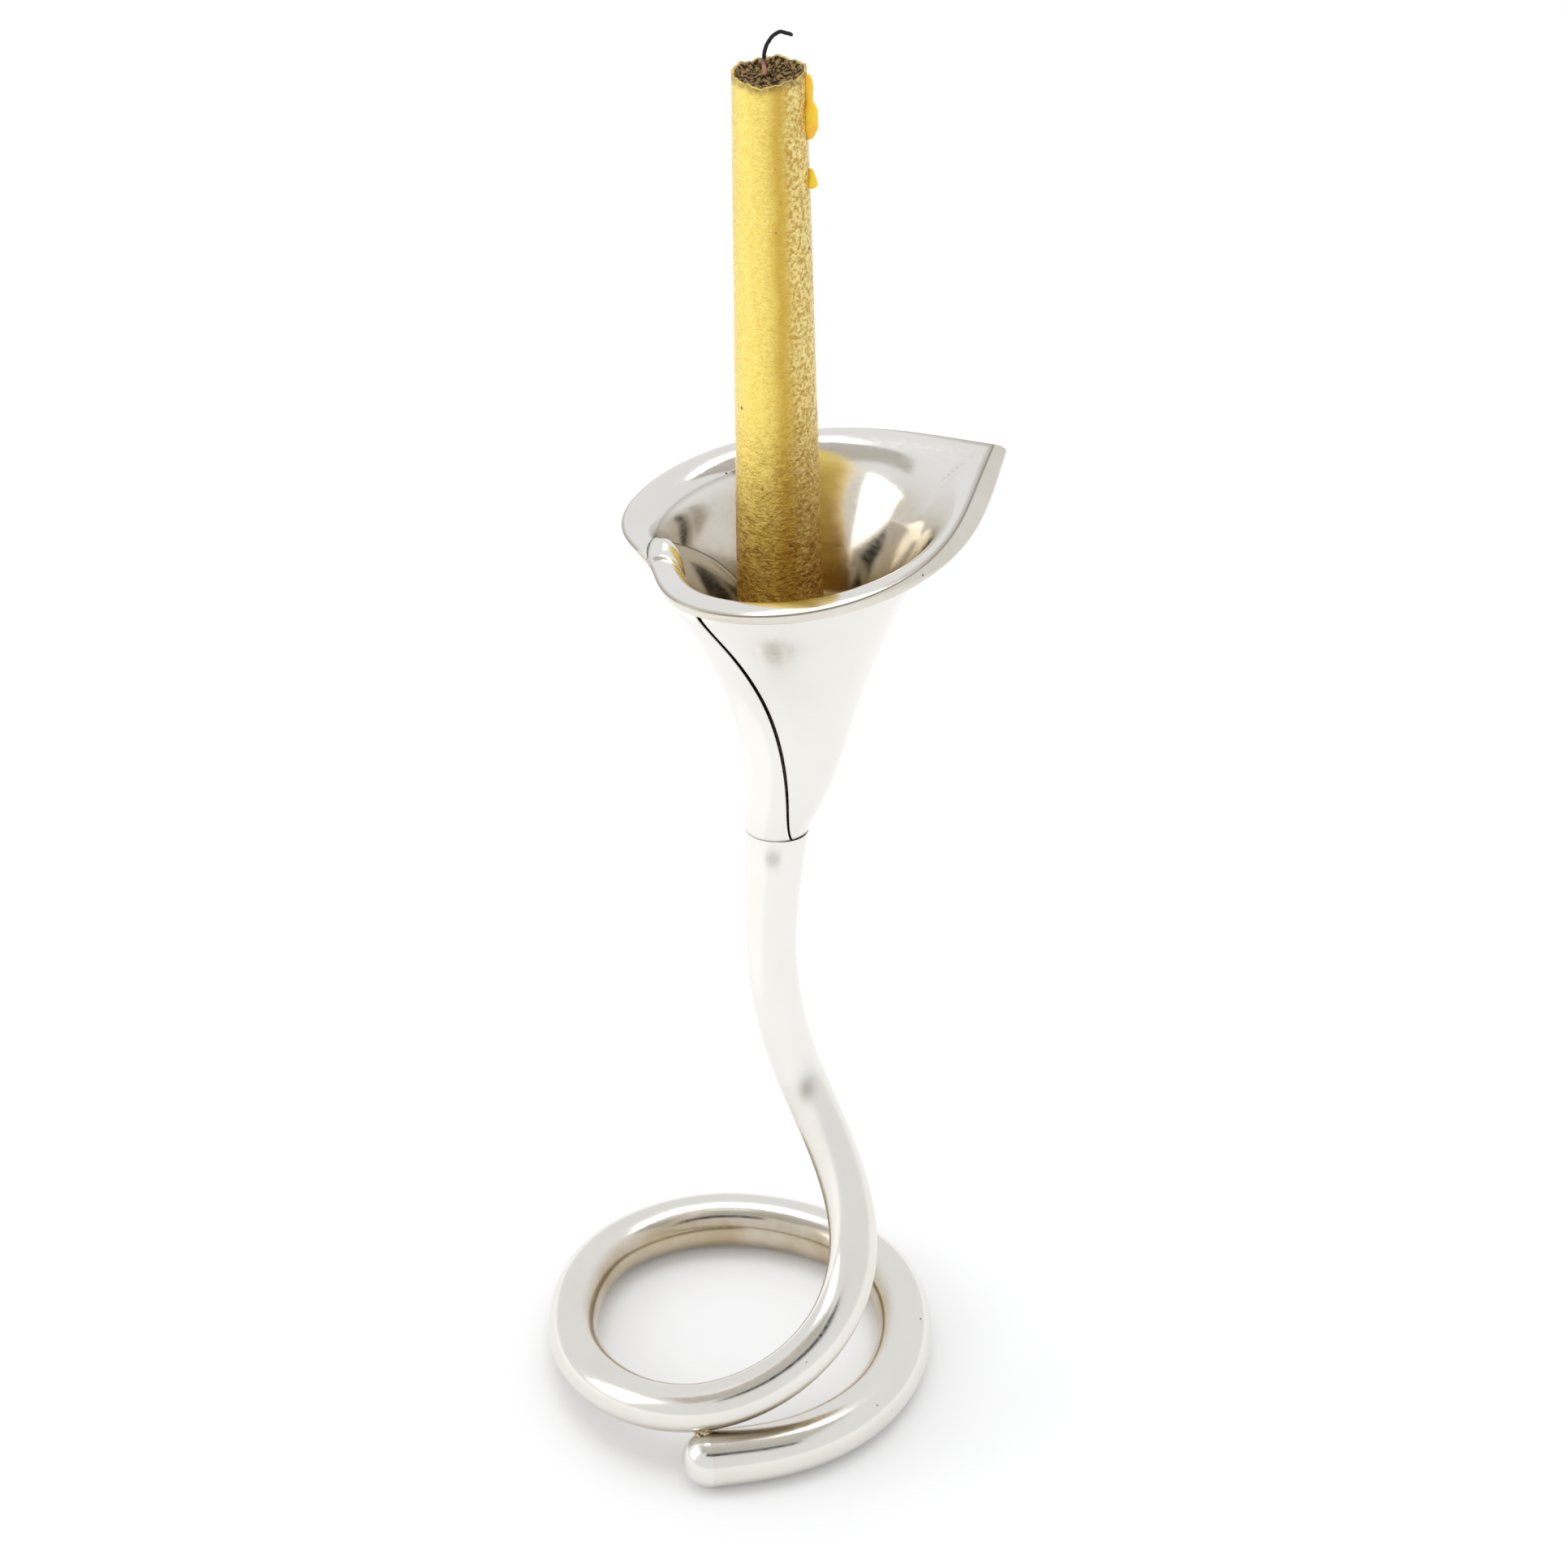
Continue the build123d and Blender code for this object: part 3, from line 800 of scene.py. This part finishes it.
def make_drip(name, node, stations, aside=-1.5):
    """A run of wax down the candle's right side, with rounded ends."""
    count = 60
    down, size, lift = np.array(stations).T
    t = spread(down[0], down[-1], count)
    ends = np.clip(np.minimum(t - down[0], down[-1] - t) / 0.8, 0.02, 1)
    radius = np.interp(t, down, size) * np.sqrt(1 - (1 - ends) ** 2)
    reach = TOP_R + (BUTT_R - TOP_R) * t / CANDLE_LENGTH + np.interp(t, down, lift)
    centres = by_neck(CANDLE_X + reach, aside, TOP_Z - t)
    places = (centres, np.tile(ACROSS, (count, 1)), np.tile(BACK, (count, 1)), radius)

    def swell(turn, row):
        return 0.08 * np.sin(2 * turn + 7 * row) + 0.05 * np.sin(15 * row)

    add_swept(name, places, 40, "candle", node, YELLOW_WAX, swell)


make_candle()
make_wick()
make_drip("wax_run_long", "wax_drip_long", LONG_RUN)
make_drip("wax_run_short", "wax_drip_short", SHORT_RUN)

# ---------------------------------------------------------------- studio


def card(name, centre, size, tilt, strength, tone=(1, 1, 1)):
    """A large studio panel that faces the object; it is seen in reflections only."""
    half_x, half_y = size[0] / 2, size[1] / 2
    mesh = bpy.data.meshes.new(name)
    corners = [(-half_x, -half_y, 0), (half_x, -half_y, 0), (half_x, half_y, 0), (-half_x, half_y, 0)]
    mesh.from_pydata(corners, [], [(0, 1, 2, 3)])
    made = bpy.data.objects.new(name, mesh)
    bpy.context.scene.collection.objects.link(made)
    made.location = centre
    made.rotation_euler = [math.radians(a) for a in tilt]
    finish = bpy.data.materials.new(name)
    finish.use_nodes = True
    shader = finish.node_tree.nodes["Principled BSDF"]
    shader.inputs["Base Color"].default_value = (0, 0, 0, 1)
    shader.inputs["Roughness"].default_value = 1
    shader.inputs["Emission Color"].default_value = (*tone, 1)
    shader.inputs["Emission Strength"].default_value = strength
    mesh.materials.append(finish)
    made.visible_camera = made.visible_diffuse = made.visible_shadow = False


def soft_box(name, centre, size, power, aim=(0, 0, 0.12)):
    """A big square lamp aimed at the object."""
    lamp = bpy.data.lights.new(name, "AREA")
    lamp.shape, lamp.size, lamp.size_y, lamp.energy = "RECTANGLE", *size, power
    made = bpy.data.objects.new(name, lamp)
    made.location = centre
    made.rotation_euler = (Vector(aim) - Vector(centre)).to_track_quat("-Z", "Y").to_euler()
    bpy.context.scene.collection.objects.link(made)


def make_studio():
    """A white room with a pale floor, two soft lamps, and panels for the silver to mirror: a warm
    ceiling, a dark gap in front of it and a bright patch of floor on the left."""
    world = bpy.data.worlds.new("studio")
    world.use_nodes = True
    world.node_tree.nodes["Background"].inputs["Color"].default_value = (0.98, 0.985, 1.0, 1)
    world.node_tree.nodes["Background"].inputs["Strength"].default_value = 0.88
    bpy.context.scene.world = world
    bpy.context.scene.view_settings.view_transform = "Standard"
    bpy.ops.mesh.primitive_plane_add(size=16)
    floor = bpy.context.object
    floor.name = "floor"
    paper = Shader("paper", Roughness=0.8)
    paper.main.inputs["Base Color"].default_value = (0.94, 0.94, 0.94, 1)
    paper.main.inputs["Specular IOR Level"].default_value = 0
    floor.data.materials.append(paper.material)
    soft_box("overhead", (0.1, 0.2, 2.4), (1.8, 1.6), 15)
    soft_box("left", (-1.9, -0.2, 1.0), (1.2, 1.4), 7)
    card("ceiling", (0, -0.45, 1.9), (2.6, 1.2), (180, 0, 0), 0.5, (1, 0.95, 0.87))
    card("ceiling_gap", (0.35, -1.3, 1.72), (1.9, 0.42), (-143, 0, 0), 0.01)
    card("floor_glow", (-0.75, -0.3, 0.003), (1.2, 1.6), (0, 0, 0), 1.15)


def make_camera():
    """The camera, in front of the object and above it, tilted down at it."""
    data = bpy.data.cameras.new("camera")
    data.lens, data.sensor_width = 89.44, 36
    camera = bpy.data.objects.new("camera", data)
    camera.location = (0.003878, -0.810773, 0.712571)
    camera.rotation_euler = (math.radians(57), 0, 0)
    bpy.context.scene.collection.objects.link(camera)
    bpy.context.scene.camera = camera


make_studio()
make_camera()
